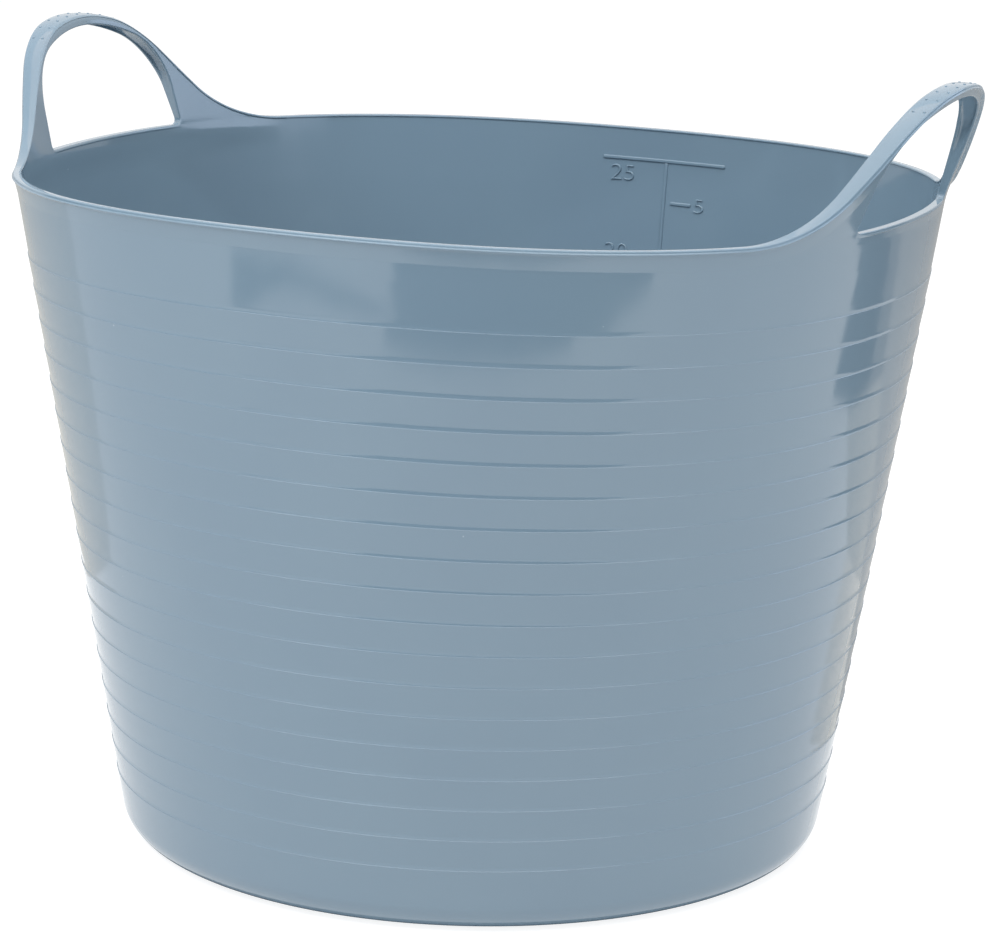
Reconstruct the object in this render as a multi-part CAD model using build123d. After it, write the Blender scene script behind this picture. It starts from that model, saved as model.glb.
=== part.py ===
"""Flexible tub: a soft polyethylene moulding with a ribbed wall and two arched, hollow handles.

The tub stands on the plane z = 0 with its axis on Z. Its handles are on the X axis and its volume
scale is on the +Y side. Lengths are in millimetres and angles in degrees. The moulding is parted
into the zones that stay still, bend or swing, and each zone has its own file.
"""

import os
from math import atan, floor, pi, radians, sqrt, tan

from build123d import *

# Wall: the cone that the wall's outside follows, from the ground to the rim
RIM_HEIGHT = 288.0
TOP_RADIUS = 198.5
BASE_RADIUS = 152.0
WALL = 2.5

# Base: the floor is lifted off the ground inside a flat standing ring
FLOOR = 3.0
FLOOR_LIFT = 2.0
STANDING_RING = 11.0
CORNER_ROUND = 14.0
PLATE_RISE = 4.0

# Ribs round the outside: each one is a low crest, with a short flank above it
RIB_COUNT = 18
FIRST_RIB = 28.0
PLAIN_BAND = 34.0
RIB_HEIGHT = 0.4
RIB_FLANK = 2.6

# Rim: the plain band ends in a bead outside and a small lip inside
BEAD = 1.0
BEAD_HEIGHT = 2.4
BEAD_FLARE = 6.0
INNER_LIP = 0.4
INNER_LIP_HEIGHT = 2.0

# Handle outline, seen along X, with heights above the rim
CROWN_HEIGHT = 53.6
CROWN_RADIUS = 113.0
FOOT_HALF_WIDTH = 86.0
FOOT_SLOPE = 46.0
SHOULDER_ROUND = 63.0
FLARE_ROUND = 57.0
FLARE_SINK = 0.5

# Handle opening, seen along X: it stands on the rim
OPENING_HALF_WIDTH = 57.5
OPENING_HEIGHT = 49.3
OPENING_CROWN = 109.0
OPENING_DRAFT = 2.0
OPENING_SHOULDER = 30.0
OPENING_CORNER = 4.0

# Handle section: a hollow strap, open towards the opening, that leans out and widens upwards
LEAN = 17.8
GRIP_WIDTH = 11.0
STRAP = 2.6
WEB = 2.0
GRIP_START = 25.0

# Pips on the grips: two rows along the crown
PIP_RADIUS = 0.8
PIP_SIDES = 8
PIP_HEIGHT = 0.6
PIP_COUNT = 9
PIP_PITCH = 9.5
PIP_ROW_GAP = 4.6

# Scale inside the wall: raised rules at the heights of whole volumes
SCALE_AZIMUTH = 90.0
SCALE_MARGIN = 12.0
SCALE_SEAT = 0.3
SCALE_RELIEF = 0.5
SCALE_LINE = 1.3
SCALE_WIDTH = 66.0
TICK_LENGTH = 11.0
TICK_GAP = 3.0
LITRE = 1e6
LITRE_STEP = 5 * LITRE
GALLON_STEP = 4.546 * LITRE

# Worked out from the sizes above
TAPER = (TOP_RADIUS - BASE_RADIUS) / RIM_HEIGHT
FLOOR_TOP = FLOOR_LIFT + FLOOR
CONTACT_RADIUS = BASE_RADIUS - CORNER_ROUND / tan(pi / 4 + atan(TAPER) / 2)
RECESS_RADIUS = CONTACT_RADIUS - STANDING_RING
PLATE_RADIUS = CONTACT_RADIUS + PLATE_RISE
LAST_RIB = RIM_HEIGHT - PLAIN_BAND
RIM_WIDTH = WALL + BEAD + INNER_LIP
RIM_MIDDLE = TOP_RADIUS + BEAD - RIM_WIDTH / 2
REACH = 2 * TOP_RADIUS


def outside(z):
    """Radius of the wall's outside cone at height z."""
    return BASE_RADIUS + TAPER * z


def inside(z):
    """Radius of the smooth inside cone at height z."""
    return outside(z) - WALL


def rounded(sketch, corners, radius):
    """Round the corners of a sketch that lie nearest to the given points."""
    for corner in corners:
        sketch = fillet(sketch.vertices().sort_by_distance((*corner, 0))[0], radius)
    return sketch


def turned(outline):
    """Turn a sketch of radii and heights about the tub's axis."""
    return revolve(Plane.XZ * outline, Axis.Z)


def base_section():
    """Section of the base up to the first rib: the floor, its standing ring and the rounded corner."""
    outer_corner = (outside(0), 0)
    inner_corner = (inside(FLOOR_TOP), FLOOR_TOP)
    section = Polygon(
        (0, FLOOR_LIFT),
        (RECESS_RADIUS - FLOOR_LIFT, FLOOR_LIFT),
        (RECESS_RADIUS, 0),
        outer_corner,
        (outside(FIRST_RIB), FIRST_RIB),
        (inside(FIRST_RIB), FIRST_RIB),
        inner_corner,
        (0, FLOOR_TOP),
        align=None,
    )
    section = rounded(section, [outer_corner], CORNER_ROUND)
    return rounded(section, [inner_corner], CORNER_ROUND - WALL)


def plate_zone():
    """Part of the base section that belongs to the floor plate."""
    return Rectangle(PLATE_RADIUS, FIRST_RIB, align=Align.MIN)


def base_floor():
    """Floor plate: it stands on a flat ring, and rises into the corner at its edge."""
    return turned(base_section() & plate_zone())


def base_corner():
    """Rounded corner from the floor plate to the first rib, with an even wall."""
    return turned(base_section() - plate_zone())


def ribbed_wall():
    """Tapering wall: each band leans out to the crest of a rib, and falls back along its flank."""
    points = [(inside(FIRST_RIB), FIRST_RIB)]
    pitch = (LAST_RIB - FIRST_RIB) / (RIB_COUNT - 1)
    for rib in range(RIB_COUNT):
        crest = FIRST_RIB + rib * pitch
        flank = crest + RIB_FLANK
        points += [(outside(crest), crest), (outside(flank) - RIB_HEIGHT, flank)]
    points.append((inside(flank), flank))
    return turned(Polygon(*points, align=None))


def rim_band():
    """Plain band above the last rib, with the bead and the inner lip of the rim."""
    foot = LAST_RIB + RIB_FLANK
    bead = RIM_HEIGHT - BEAD_HEIGHT
    flare = bead - BEAD_FLARE
    lip = RIM_HEIGHT - INNER_LIP_HEIGHT
    section = Polygon(
        (inside(foot), foot),
        (outside(foot) - RIB_HEIGHT, foot),
        (outside(flare), flare),
        (TOP_RADIUS + BEAD / 2, bead),
        (TOP_RADIUS + BEAD, bead),
        (TOP_RADIUS + BEAD, RIM_HEIGHT),
        (TOP_RADIUS - WALL - INNER_LIP, RIM_HEIGHT),
        (TOP_RADIUS - WALL - INNER_LIP, lip),
        (inside(lip), lip - INNER_LIP),
        align=None,
    )
    return turned(section)


def handle_outline():
    """Outer outline of a handle: crown, round shoulders and wide flares into the rim."""
    peak = FOOT_HALF_WIDTH * tan(radians(FOOT_SLOPE)) - FLARE_SINK
    foot = FOOT_HALF_WIDTH
    sides = Polygon((-foot, -FLARE_SINK), (foot, -FLARE_SINK), (0, peak), align=None)
    top = sides & Pos(0, CROWN_HEIGHT - CROWN_RADIUS) * Circle(CROWN_RADIUS)
    shoulders = [(v.X, v.Y) for v in top.vertices().sort_by(Axis.Y)[-2:]]
    strip = Pos(0, -FLARE_SINK) * Rectangle(
        2 * (foot + FLARE_ROUND), FLARE_ROUND, align=(Align.CENTER, Align.MAX)
    )
    outline = rounded(top + strip, shoulders, SHOULDER_ROUND)
    return rounded(outline, [(-foot, -FLARE_SINK), (foot, -FLARE_SINK)], FLARE_ROUND)


def handle_opening():
    """Opening of a handle: nearly upright sides under a round crown, with small lower corners."""
    half = OPENING_HALF_WIDTH
    draft = OPENING_HEIGHT * tan(radians(OPENING_DRAFT))
    sides = Polygon(
        (-half, 0), (half, 0), (half - draft, OPENING_HEIGHT), (draft - half, OPENING_HEIGHT), align=None
    )
    opening = sides & Pos(0, OPENING_HEIGHT - OPENING_CROWN) * Circle(OPENING_CROWN)
    shoulders = [(v.X, v.Y) for v in opening.vertices().filter_by(lambda v: v.Y > 0)]
    opening = rounded(opening, shoulders, OPENING_SHOULDER)
    return rounded(opening, [(-half, 0), (half, 0)], OPENING_CORNER)


def through(sketch):
    """Carry a handle sketch along X through the +X side of the tub, from the rim's level."""
    return Pos(0, 0, RIM_HEIGHT) * extrude(Plane.YZ * sketch, amount=REACH)


def handle_middle(height):
    """Radius of the middle of a handle's section, at a height above the rim."""
    return RIM_MIDDLE + height * tan(radians(LEAN))


def handle_wedge(skin):
    """Turned wedge that leans out and widens upwards, with a skin taken off both faces."""
    growth = (GRIP_WIDTH - RIM_WIDTH) / CROWN_HEIGHT
    low = max(0, (2 * skin - RIM_WIDTH) / growth)
    high = CROWN_HEIGHT + GRIP_WIDTH
    low_half = (RIM_WIDTH + growth * low) / 2 - skin
    high_half = (RIM_WIDTH + growth * high) / 2 - skin
    corners = [
        (handle_middle(low) - low_half, RIM_HEIGHT + low),
        (handle_middle(high) - high_half, RIM_HEIGHT + high),
        (handle_middle(high) + high_half, RIM_HEIGHT + high),
    ]
    if low == 0:
        corners.append((handle_middle(low) + low_half, RIM_HEIGHT + low))
    return turned(Polygon(*corners, align=None))


def handle():
    """Whole handle on the +X side: outline and opening cut from the wedge, and hollowed."""
    outline = handle_outline()
    solid = through(outline) & handle_wedge(0)
    hollow = through(offset(outline, amount=-STRAP)) & handle_wedge(WEB)
    return solid - through(handle_opening()) - hollow


def grip_block():
    """Block that holds everything of a handle above the top of its legs."""
    upright = (Align.CENTER, Align.CENTER, Align.MIN)
    return Pos(0, 0, RIM_HEIGHT + GRIP_START) * Box(2 * REACH, 2 * REACH, REACH, align=upright)


def grip_pips():
    """Two rows of small pips that stand on the crown of the +X strap."""
    outline = handle_outline()
    skin = through(offset(outline, amount=PIP_HEIGHT)) - through(outline)
    pips = []
    for place in range(PIP_COUNT):
        y = (place - (PIP_COUNT - 1) / 2) * PIP_PITCH
        height = CROWN_HEIGHT - CROWN_RADIUS + sqrt(CROWN_RADIUS**2 - y**2)
        for row in (-0.5, 0.5):
            x = sqrt(handle_middle(height) ** 2 - y**2) + row * PIP_ROW_GAP
            place = Pos(x, y, RIM_HEIGHT + height - CROWN_HEIGHT / 2)
            pips.append(place * extrude(RegularPolygon(PIP_RADIUS, PIP_SIDES), CROWN_HEIGHT) & skin)
    return Compound(pips)


def volume_under(z):
    """Volume that the tub holds up to a height."""
    return pi / (3 * TAPER) * (inside(z) ** 3 - inside(FLOOR_TOP) ** 3)


def mark_height(volume):
    """Height of the surface when the tub holds a volume."""
    bottom = inside(FLOOR_TOP)
    radius = (bottom**3 + 3 * TAPER * volume / pi) ** (1 / 3)
    return FLOOR_TOP + (radius - bottom) / TAPER


def volume_scale():
    """Raised rules on the inside wall: a header, an upright, and a tick for each whole volume."""
    litre_steps = floor(volume_under(RIM_HEIGHT - SCALE_MARGIN) / LITRE_STEP)
    header = mark_height(litre_steps * LITRE_STEP)
    foot = mark_height(LITRE_STEP / 2)
    crest = SCALE_SEAT + SCALE_RELIEF
    section = Polygon(
        (inside(foot) - crest, foot),
        (inside(foot) - SCALE_SEAT, foot),
        (inside(RIM_HEIGHT) - SCALE_SEAT, RIM_HEIGHT),
        (inside(RIM_HEIGHT) - crest, RIM_HEIGHT),
        align=None,
    )
    skin = turned(section)
    upright = header - SCALE_LINE / 2 - foot
    lines = [
        Pos(TOP_RADIUS, 0, header) * Box(TOP_RADIUS, SCALE_WIDTH, SCALE_LINE),
        Pos(TOP_RADIUS, 0, foot + upright / 2) * Box(TOP_RADIUS, SCALE_LINE, upright),
    ]
    tick_middle = SCALE_LINE / 2 + TICK_GAP + TICK_LENGTH / 2
    litres = [count * LITRE_STEP for count in range(1, litre_steps)]
    gallon_steps = floor(volume_under(header) / GALLON_STEP)
    gallons = [count * GALLON_STEP for count in range(1, gallon_steps + 1)]
    for side, volumes in ((1, litres), (-1, gallons)):
        for volume in volumes:
            place = Pos(TOP_RADIUS, side * tick_middle, mark_height(volume))
            lines.append(place * Box(TOP_RADIUS, TICK_LENGTH, SCALE_LINE))
    return Rot(0, 0, SCALE_AZIMUTH) * Compound([line & skin for line in lines])


def main():
    os.makedirs("parts", exist_ok=True)
    whole = handle()
    grip = whole & grip_block()
    pips = grip_pips()
    low_leg, high_leg = (whole - grip_block()).solids().sort_by(Axis.Y)
    half_turn = Rot(0, 0, 180)
    nodes = {
        "base_floor": base_floor(),
        "base_corner": base_corner(),
        "ribbed_wall": ribbed_wall(),
        "rim_band": rim_band(),
        "volume_scale": volume_scale(),
        "right_front_leg": low_leg,
        "right_back_leg": high_leg,
        "right_grip": grip,
        "right_grip_pips": pips,
        "left_front_leg": half_turn * high_leg,
        "left_back_leg": half_turn * low_leg,
        "left_grip": half_turn * grip,
        "left_grip_pips": half_turn * pips,
    }
    for name, shape in nodes.items():
        export_step(shape, f"parts/{name}.step")


main()
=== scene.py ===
"""Flexible tub: the dressed model, its light and its camera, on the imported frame.

Lengths in the sections are in millimetres, as on a drawing, and turn to metres in the mesh. Those of
the white sheet, the drapes, the lights and their cards are in metres. Heights of the handles are
counted from the top of the rim.
"""

from math import asin, atan, atan2, cos, pi, radians, sin, tan

import bpy
import numpy as np
from mathutils import Matrix, Vector


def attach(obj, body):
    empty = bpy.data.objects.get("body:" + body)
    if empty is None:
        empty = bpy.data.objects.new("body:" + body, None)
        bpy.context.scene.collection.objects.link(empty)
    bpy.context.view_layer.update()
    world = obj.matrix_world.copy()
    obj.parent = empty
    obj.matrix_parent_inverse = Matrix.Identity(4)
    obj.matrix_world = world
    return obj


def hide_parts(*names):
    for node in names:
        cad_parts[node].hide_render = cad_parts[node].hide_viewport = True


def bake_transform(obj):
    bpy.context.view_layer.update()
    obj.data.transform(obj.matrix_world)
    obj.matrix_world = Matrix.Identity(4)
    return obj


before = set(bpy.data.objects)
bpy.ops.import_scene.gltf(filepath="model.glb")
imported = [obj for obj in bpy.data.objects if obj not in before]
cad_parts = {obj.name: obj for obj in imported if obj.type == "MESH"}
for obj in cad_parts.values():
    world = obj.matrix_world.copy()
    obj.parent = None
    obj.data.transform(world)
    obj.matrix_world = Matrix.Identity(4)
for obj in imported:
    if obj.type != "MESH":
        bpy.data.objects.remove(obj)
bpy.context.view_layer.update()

# Floor
# The real floor is the middle of one soft polyethylene injection moulding: a flat plate, lifted off
# the ground inside the flat ring that the tub stands on.
MM = 0.001
RIM_HEIGHT = 288.0
FLOOR_LIFT = 2.0
FLOOR_TOP = 5.0
FLOOR_EDGE = 139.0
PLATE_MIDDLE = 60.0
RECESS_RADIUS = 129.0
# Distance inside the recess's edge, and height over the ground, of the rounded step up to the plate
RECESS_STEP = [(2.6, FLOOR_LIFT), (1.8, 1.7), (0.7, 0.3)]
TURN_STEPS = 288
WELD = 0.001
# The set of the used rim: cosine and sine parts of its oval and its squared shape, its slope, the dip
# of its right side for each metre squared, the stretch of the right handle, and the radius inside
# which the shape fades
OVAL = (2.49, -3.87)
SQUARE = (-5.75, -1.58)
RIM_TILT = 0.0042
RIGHT_DIP = 0.022
RIGHT_STRETCH = 0.025
AXIS_REACH = 10.0


def pick(*pieces):
    """Select these pieces alone, and make the first one active."""
    bpy.ops.object.select_all(action="DESELECT")
    for piece in pieces:
        piece.select_set(True)
    bpy.context.view_layer.objects.active = pieces[0]


def close_up(weld):
    """Weld the points of the mesh in edit mode, fill what is open and turn its faces outwards."""
    bpy.ops.mesh.select_all(action="SELECT")
    bpy.ops.mesh.remove_doubles(threshold=weld * MM)
    bpy.ops.mesh.select_all(action="DESELECT")
    bpy.ops.mesh.select_non_manifold()
    bpy.ops.mesh.fill_holes(sides=0)
    bpy.ops.mesh.select_all(action="SELECT")
    bpy.ops.mesh.normals_make_consistent(inside=False)


def spun(name, section, start=0.0, sweep=2 * pi, steps=TURN_STEPS):
    """Draw a section of radii and heights point by point, and spin it about the tub's axis."""
    bpy.ops.object.select_all(action="DESELECT")
    bpy.ops.mesh.primitive_plane_add(size=MM)
    piece = bpy.context.object
    piece.name = name
    places = [Vector((r * cos(start), r * sin(start), z)) * MM for r, z in section]
    bpy.ops.object.mode_set(mode="EDIT")
    bpy.ops.mesh.select_all(action="SELECT")
    bpy.ops.mesh.merge(type="CENTER")
    bpy.ops.transform.translate(value=places[0])
    for here, there in zip(places, places[1:]):
        bpy.ops.mesh.extrude_vertices_move(TRANSFORM_OT_translate={"value": there - here})
    bpy.ops.mesh.select_all(action="SELECT")
    bpy.ops.mesh.remove_doubles(threshold=WELD * MM)
    bpy.ops.mesh.select_all(action="SELECT")
    bpy.ops.mesh.spin(steps=steps, angle=sweep, center=(0, 0, 0), axis=(0, 0, -1))
    close_up(WELD)
    bpy.ops.object.mode_set(mode="OBJECT")
    return piece


def settle(piece):
    """Let the soft wall take the slightly squared, oval set that the real rim has."""
    count = len(piece.data.vertices)
    places = np.empty(count * 3)
    piece.data.vertices.foreach_get("co", places)
    places = places.reshape(-1, 3)
    round_about = np.arctan2(places[:, 1], places[:, 0])
    rise = np.clip(places[:, 2] / (RIM_HEIGHT * MM), 0, 1) ** 2
    oval = OVAL[0] * np.cos(2 * round_about) + OVAL[1] * np.sin(2 * round_about)
    square = SQUARE[0] * np.cos(4 * round_about) + SQUARE[1] * np.sin(4 * round_about)
    radius = np.hypot(places[:, 0], places[:, 1])
    grown = 1 + rise * (oval + square) * MM / np.maximum(radius, AXIS_REACH * MM)
    right = np.maximum(places[:, 0], 0)
    places[:, 2] += RIGHT_STRETCH * np.maximum(places[:, 2] - RIM_HEIGHT * MM, 0) * (right > 0)
    places[:, 2] -= rise * (RIM_TILT * places[:, 0] + RIGHT_DIP * right**2)
    places[:, :2] *= grown[:, None]
    piece.data.vertices.foreach_set("co", places.ravel())
    piece.data.update()


def smooth(piece, angle=32):
    """Shade a piece smooth, but keep the edges that turn more sharply than an angle."""
    pick(piece)
    bpy.ops.object.shade_smooth_by_angle(angle=radians(angle))


def linear(hex_colour):
    """Linear colour of an sRGB hex value."""
    channels = [int(hex_colour[i : i + 2], 16) / 255 for i in (1, 3, 5)]
    return [c / 12.92 if c <= 0.04045 else ((c + 0.055) / 1.055) ** 2.4 for c in channels] + [1.0]


def add_node(tree, kind, settings=None, links=None):
    """Add a node, set its properties and sockets, and link its inputs from other sockets."""
    node = tree.nodes.new(kind)
    for key, value in (settings or {}).items():
        if isinstance(key, str) and hasattr(node, key):
            setattr(node, key, value)
        else:
            node.inputs[key].default_value = value
    for key, source in (links or {}).items():
        tree.links.new(source, node.inputs[key])
    return node


def moulded_polyethylene():
    """Dusty blue polyethylene, moulded against a polished tool.

    It gives the eye a clear gloss with crisp, slightly wavy reflections, faintly cloudy colour where
    the pigment mixed, and a few pale specks and rubbed spots.
    """
    material = bpy.data.materials.new("moulded_polyethylene")
    material.use_nodes = True
    tree = material.node_tree
    tree.nodes.clear()
    place = add_node(tree, "ShaderNodeTexCoord").outputs["Object"]
    cloud = add_node(
        tree, "ShaderNodeTexNoise", {"Scale": 1 / (60 * MM), "Detail": 3.0}, {"Vector": place}
    )
    tint = add_node(
        tree,
        "ShaderNodeMix",
        {"data_type": "RGBA", 6: linear("#6D8496"), 7: linear("#738A9A")},
        {0: cloud.outputs["Fac"]},
    )
    speck = add_node(
        tree, "ShaderNodeTexVoronoi", {"Scale": 1 / (26 * MM), "Randomness": 1.0}, {"Vector": place}
    )
    dot = add_node(
        tree,
        "ShaderNodeMapRange",
        {"From Min": 0.010, "From Max": 0.016, "To Min": 0.4, "To Max": 0.0},
        {"Value": speck.outputs["Distance"]},
    )
    colour = add_node(
        tree,
        "ShaderNodeMix",
        {"data_type": "RGBA", 7: linear("#B4C3CF")},
        {0: dot.outputs["Result"], 6: tint.outputs[2]},
    )
    rub = add_node(
        tree, "ShaderNodeTexNoise", {"Scale": 1 / (14 * MM), "Detail": 6.0}, {"Vector": place}
    )
    gloss = add_node(
        tree,
        "ShaderNodeMapRange",
        {"From Min": 0.3, "From Max": 0.7, "To Min": 0.07, "To Max": 0.11},
        {"Value": rub.outputs["Fac"]},
    )
    peel = add_node(
        tree, "ShaderNodeTexNoise", {"Scale": 1 / (7 * MM), "Detail": 2.0}, {"Vector": place}
    )
    bump = add_node(
        tree,
        "ShaderNodeBump",
        {"Strength": 0.012, "Distance": 0.3 * MM},
        {"Height": peel.outputs["Fac"]},
    )
    skin = add_node(
        tree,
        "ShaderNodeBsdfPrincipled",
        {"IOR": 1.51, "Specular IOR Level": 0.74},
        {
            "Base Color": colour.outputs[2],
            "Roughness": gloss.outputs["Result"],
            "Normal": bump.outputs["Normal"],
        },
    )
    add_node(tree, "ShaderNodeOutputMaterial", None, {"Surface": skin.outputs["BSDF"]})
    return material


plastic = moulded_polyethylene()


def dress(piece, *nodes):
    """Give a moulded zone its set and its plastic, in place of its solids."""
    settle(piece)
    smooth(piece)
    piece.data.materials.clear()
    piece.data.materials.append(plastic)
    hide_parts(*nodes)


floor_section = [(0, FLOOR_LIFT)]
floor_section += [(RECESS_RADIUS - back, height) for back, height in RECESS_STEP]
floor_section += [(RECESS_RADIUS, 0), (FLOOR_EDGE, 0)]
floor_section += [(FLOOR_EDGE, FLOOR_TOP), (PLATE_MIDDLE, FLOOR_TOP), (0, FLOOR_TOP)]
floor_plate = spun("floor_plate", floor_section)
dress(floor_plate, "base_floor")
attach(floor_plate, "tub")

# Base corner
# The real corner is the same moulding, where the floor turns up into the wall with an even
# thickness: round outside and inside, up to the crest of the lowest rib.
TOP_RADIUS = 198.5
BASE_RADIUS = 151.6
WALL = 2.5
TAPER = (TOP_RADIUS - BASE_RADIUS) / RIM_HEIGHT
LEAN_OUT = atan(TAPER)
CORNER_ROUND = 14.0
CORNER_STEPS = 22
FIRST_RIB = 28.0
RIB_HEIGHT = 0.36
BAND_ROWS = (0.03, 0.5, 0.97, 1.0)


def outside(z):
    """Radius of the bands between the ribs at a height."""
    return BASE_RADIUS + TAPER * z


def inside(z):
    """Radius of the smooth inside at a height."""
    return outside(z) - WALL


def arc(centre, radius, start, end, count):
    """Points along an arc, with angles in radians."""
    turn = np.linspace(start, end, count)
    return [(centre[0] + radius * cos(a), centre[1] + radius * sin(a)) for a in turn]


def band(low, high):
    """Heights along a flaring band, crowded at its ends, and its share of the rib's height there."""
    return [(low + (high - low) * part, part) for part in BAND_ROWS]


reach_in = tan(pi / 4 + LEAN_OUT / 2)
outer_contact = BASE_RADIUS - CORNER_ROUND / reach_in
inner_round = CORNER_ROUND - WALL
inner_contact = inside(FLOOR_TOP) - inner_round / reach_in
corner_section = [(FLOOR_EDGE, 0)]
corner_section += arc((outer_contact, CORNER_ROUND), CORNER_ROUND, -pi / 2, -LEAN_OUT, CORNER_STEPS)
corner_section += [(outside(z) + RIB_HEIGHT * part, z) for z, part in band(CORNER_ROUND, FIRST_RIB)]
corner_section += [(inside(FIRST_RIB), FIRST_RIB)]
corner_section += arc(
    (inner_contact, FLOOR_TOP + inner_round), inner_round, -LEAN_OUT, -pi / 2, CORNER_STEPS
)
corner_section += [(FLOOR_EDGE, FLOOR_TOP), (FLOOR_EDGE, 0)]
base_corner = spun("rounded_corner", corner_section)
dress(base_corner, "base_corner")
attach(base_corner, "tub")

# Ribbed wall
# The real wall is a thin tapering cone, smooth inside, with eighteen low ribs round the outside
# that a turned tool left: each band flares to a fine crest, and a hollow flank leads back over it.
RIB_COUNT = 18
LAST_RIB = 254.0
WALL_TOP = 258.0
TOP_ROW = 256.1
INSIDE_ROWS = (0.75, 0.5, 0.25)
# Distance above a crest, and how much of the rib's height is left there
OVER_CREST = [
    (0.02, 0.96), (0.06, 0.83), (0.12, 0.62), (0.17, 0.48), (0.28, 0.4),
    (0.6, 0.27), (1.0, 0.13), (1.35, 0.05), (1.7, 0.0),
]
rib_pitch = (LAST_RIB - FIRST_RIB) / (RIB_COUNT - 1)
wall_section = [(inside(FIRST_RIB), FIRST_RIB), (outside(FIRST_RIB) + RIB_HEIGHT, FIRST_RIB)]
for rib in range(RIB_COUNT):
    crest = FIRST_RIB + rib * rib_pitch
    if rib:
        start = crest - rib_pitch + OVER_CREST[-1][0]
        wall_section += [(outside(z) + RIB_HEIGHT * part, z) for z, part in band(start, crest)]
    for up, part in OVER_CREST:
        wall_section += [(outside(crest + up) + RIB_HEIGHT * part, crest + up)]
wall_section += [(outside(TOP_ROW), TOP_ROW)]
wall_section += [(outside(WALL_TOP), WALL_TOP), (inside(WALL_TOP), WALL_TOP)]
for share in INSIDE_ROWS:
    z = FIRST_RIB + share * (WALL_TOP - FIRST_RIB)
    wall_section.append((inside(z), z))
wall_section.append(wall_section[0])
ribbed_wall = spun("ribbed_shell", wall_section)
dress(ribbed_wall, "ribbed_wall")
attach(ribbed_wall, "tub")

# Rim
# The real rim is the plain top band of the wall, with a bead outside and a small lip inside that
# stiffen the edge. The bead climbs onto the handles, so there the rim belongs to them.
BAND_TOP = 272.0
HANDLE_REACH = 118.0
BEAD = 1.0
BEAD_FACE = 1.4
BEAD_UNDERCUT = 2.1
BEAD_FLARE = 8.4
LIP = 0.45
LIP_ROUND = 0.45
LIP_HEIGHT = 0.8
LIP_UNDERCUT = 1.15
# Distances below the edge at which the bead and the lip change shape
FINE_ROWS = [
    0, 0.04, 0.14, 0.3, 0.5, 0.8, 0.9, 1.03, 1.15, 1.4, 1.55, 1.7, 1.82, 1.9, 1.97, 2.03, 2.1, 2.3,
]
BROAD_ROWS = [3.3, 4.8, 6.4, 8.1, 8.25, 8.4, 8.6]
# How far the rounded edge, the bead and the flare under it stand out of the wall at those distances
BEAD_STEPS = [
    -0.05, 0.14, 0.31, 0.44, 0.53, 0.59, 0.61, 0.68, 0.86, 1.0, 1.0, 0.95, 0.84, 0.72, 0.62, 0.56,
    0.52, 0.5,
]


def ease(value, low, high):
    """Smooth ramp from 0 at low to 1 at high."""
    part = np.clip((np.asarray(value, float) - low) / (high - low), 0, 1)
    return part * part * (3 - 2 * part)


def bead_relief(depth):
    """How far the bead stands out of the wall at a distance below the edge."""
    return np.interp(depth, FINE_ROWS + [BEAD_FLARE], BEAD_STEPS + [0])


def upright(depth):
    """How much higher a point of the bead is taken, so that the bead's face stands upright."""
    return depth * (1 - ease(depth, BEAD_FACE, BEAD_UNDERCUT))


def lip_relief(depth, rounding=LIP_ROUND):
    """How far the lip stands into the tub at a distance below the edge."""
    depth = np.asarray(depth, float)
    turn = np.clip(rounding - depth, 0, rounding)
    face = LIP - rounding + np.sqrt(rounding**2 - turn**2)
    return face - LIP * ease(depth, LIP_HEIGHT, LIP_UNDERCUT)


band_section = [
    (outside(WALL_TOP), WALL_TOP),
    (outside(BAND_TOP), BAND_TOP),
    (inside(BAND_TOP), BAND_TOP),
    (inside(WALL_TOP), WALL_TOP),
    (outside(WALL_TOP), WALL_TOP),
]
rim_band = spun("beaded_rim", band_section)
edge_heights = RIM_HEIGHT - np.array(FINE_ROWS + BROAD_ROWS + [RIM_HEIGHT - BAND_TOP])
edge_depths = RIM_HEIGHT - edge_heights
outer_edge = [
    (outside(z + upright(d)) + bead_relief(d), z) for d, z in zip(edge_depths, edge_heights)
]
inner_edge = [(inside(z) - lip_relief(d), z) for d, z in zip(edge_depths, edge_heights)]
edge_section = outer_edge[::-1] + inner_edge + [outer_edge[-1]]
handle_angle = asin(HANDLE_REACH / TOP_RADIUS)
edge_sweep = pi - 2 * handle_angle
edge_steps = round(TURN_STEPS * edge_sweep / (2 * pi))
edges = [
    spun("rim_edge", edge_section, start, edge_sweep, edge_steps)
    for start in (handle_angle, handle_angle + pi)
]
pick(rim_band, *edges)
bpy.ops.object.join()
dress(rim_band, "rim_band")
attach(rim_band, "tub")

# Handles
# Each real handle is the wall carried up past the rim: two thin webs under a wide strap, hollow and
# open towards the hand. The bead of the rim climbs its flares and runs along the strap's outer edge.
CROWN_RISE = 53.6
CROWN_ROUND = 113.4
CROWN_ANGLE = 0.195
SHOULDER_ROUND = 62.6
FOOT_ANGLE = 0.76
FLARE_END = 111.4
FLARE_ROUND = 56.6
OPENING_HALF = 57.5
OPENING_RISE = 48.7
OPENING_CROWN = 109.0
OPENING_SHOULDER = 30.0
OPENING_CORNER = 2.8
OPENING_DRAFT = radians(4.0)
HANDLE_LEAN = tan(radians(17.4))
STRAP_WIDTH = 11.0
STRAP = 2.5
WEB = 1.3
EDGE_ROUND = 0.6
HOLLOW_DEPTH = 2.0
INNER_WEB_RISE = 0.5
INNER_SET = 1.2
INNER_EDGE_ROUND = 2.4
INNER_LEAN_EARLY = 3.0
CROWNING = 0.3
LEAN_START = 6.0
SILL_END = -12.5
SILL_TOP = 2.0
SILL_LIP = 0.7
SILL_LIP_RISE = 0.3
# Distances from a handle's middle over which its lean, its set inwards and its turn fade into the rim,
# and from a side of the opening over which the edge under it begins
LEAN_FADE = (88, 114)
SET_FADE = (84, 112)
TURN_FADE = (92, HANDLE_REACH)
SILL_FADE = (0, 8)
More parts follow.
